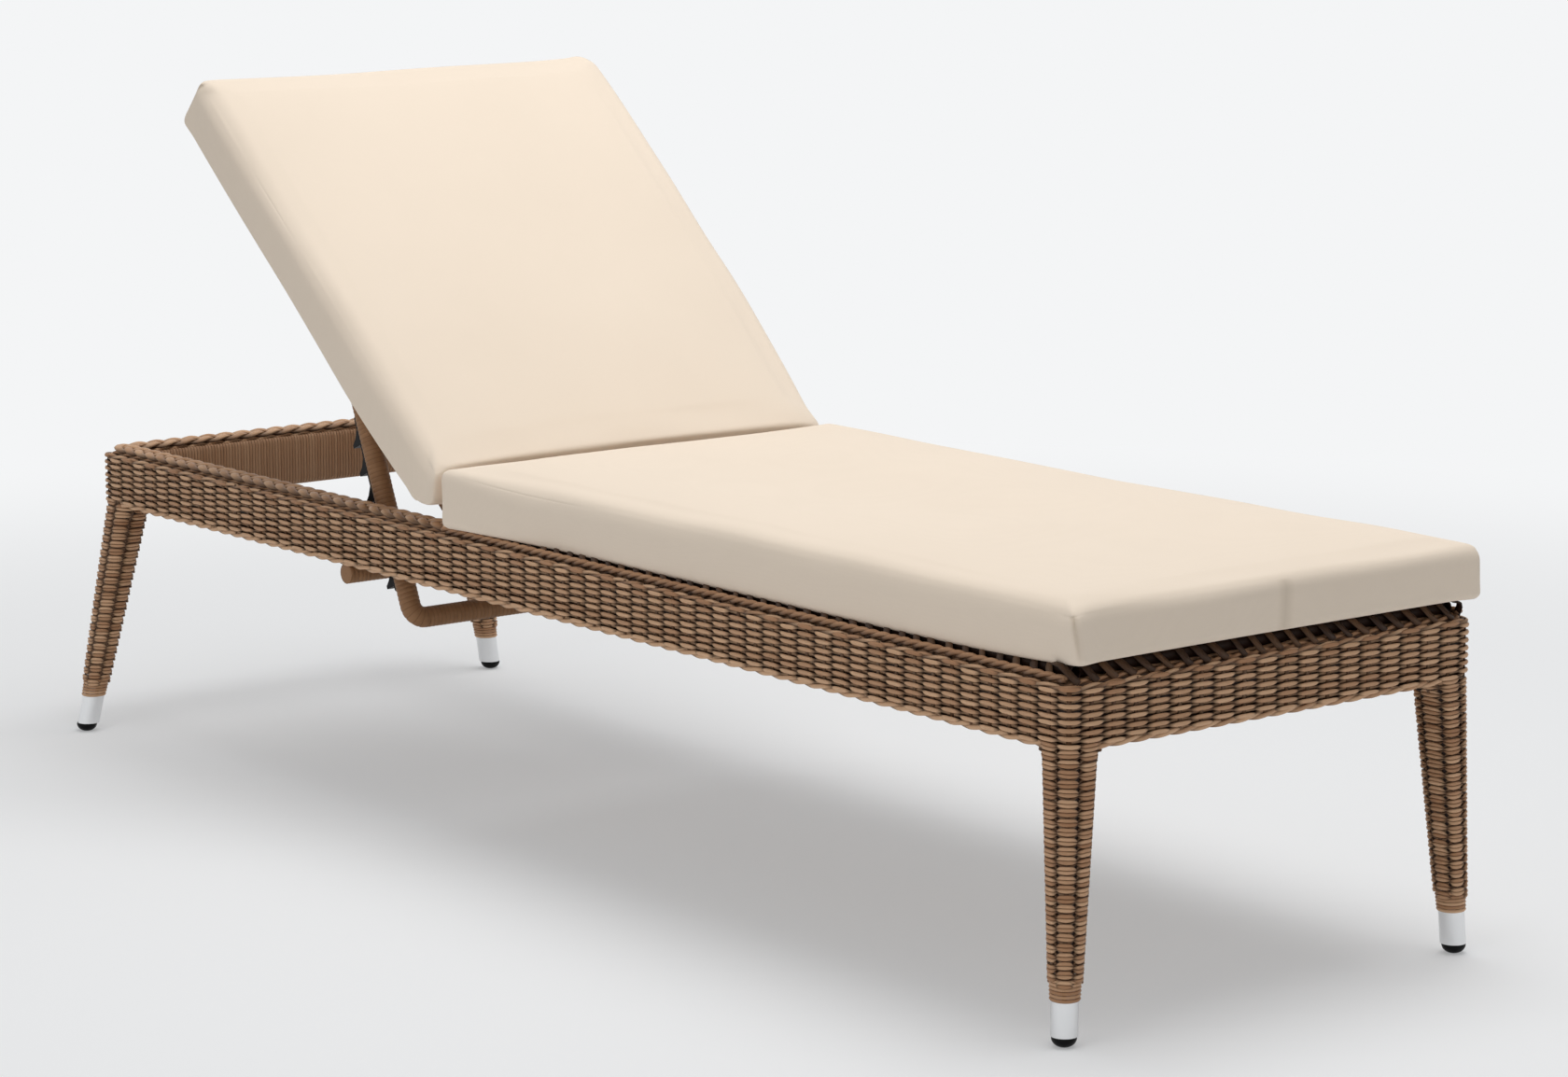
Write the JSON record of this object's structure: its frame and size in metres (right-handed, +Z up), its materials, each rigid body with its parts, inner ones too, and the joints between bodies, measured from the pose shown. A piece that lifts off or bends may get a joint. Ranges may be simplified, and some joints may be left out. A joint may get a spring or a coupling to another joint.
{
  "type": "sun lounger",
  "caption": "Low sun lounger: woven rails and splayed woven legs, plain box cushions on the seat and backrest, and a backrest that tilts on a toothed prop.",
  "frame": {"origin": "on the floor, under the middle of the lounger's length and width", "axes": "+X towards the foot end, +Y towards the far side in the picture, +Z up"},
  "size_m": [2.0271, 0.714, 0.9259],
  "materials": {
    "weave": "woven round strand, satin",
    "wrap": "wound flat strand, satin",
    "deck": "open woven strand, satin",
    "cushion": "plain cream outdoor cloth",
    "tube": "brown powder coat",
    "bare_aluminium": "satin",
    "steel": "turned stainless",
    "black_plastic": "moulded, satin"
  },
  "bodies": {
    "frame": {"rail_weave_near": "weave", "rail_tube_near": "tube", "seat_edge_tube_near": "tube", "rail_weave_far": "weave", "rail_tube_far": "tube", "seat_edge_tube_far": "tube", "rail_weave_foot": "weave", "rail_tube_foot": "tube", "seat_edge_tube_foot": "tube", "rail_weave_head": "weave", "rail_tube_head": "tube", "seat_edge_tube_head": "tube", "leg_weave_foot_near": "weave", "leg_tube_foot_near": "bare_aluminium", "glide_foot_near": "black_plastic", "leg_weave_foot_far": "weave", "leg_tube_foot_far": "bare_aluminium", "glide_foot_far": "black_plastic", "leg_weave_head_near": "weave", "leg_tube_head_near": "bare_aluminium", "glide_head_near": "black_plastic", "leg_weave_head_far": "weave", "leg_tube_head_far": "bare_aluminium", "glide_head_far": "black_plastic", "seat_cross_tube_1": "tube", "seat_cross_tube_2": "tube", "seat_cross_tube_3": "tube", "seat_deck": "deck", "seat_cushion": "cushion", "catch_bar": "wrap", "hinge_bracket_near": "tube", "hinge_pin_near": "steel", "hinge_bracket_far": "tube", "hinge_pin_far": "steel"},
    "backrest": {"back_deck": "deck", "back_cushion": "cushion", "back_cross_tube_low": "tube", "back_cross_tube_mid": "tube", "back_cross_tube_top": "tube", "hinge_bush_near": "black_plastic", "back_side_tube_near": "tube", "prop_clevis_near": "tube", "prop_pivot_pin_near": "steel", "hinge_bush_far": "black_plastic", "back_side_tube_far": "tube", "prop_clevis_far": "tube", "prop_pivot_pin_far": "steel"},
    "prop": {"prop_crossbar": "wrap", "prop_arm_near": "wrap", "prop_rack_near": "black_plastic", "prop_arm_far": "wrap", "prop_rack_far": "black_plastic"}
  },
  "joints": [
    {"name": "recline", "type": "hinge", "parent": "frame", "child": "backrest", "pos_m": [-0.205, 0, 0.392], "axis": [0, 1, 0], "range_deg": [-40.4, 2]},
    {"name": "prop_swing", "type": "hinge", "parent": "backrest", "child": "prop", "pos_m": [-0.44746, 0, 0.55764], "axis": [0, 1, 0], "range_deg": [-25.2, 1.4]}
  ],
  "couplings": [
    {"joint": "prop_swing", "follows": "recline", "ratio": 0.62}
  ]
}
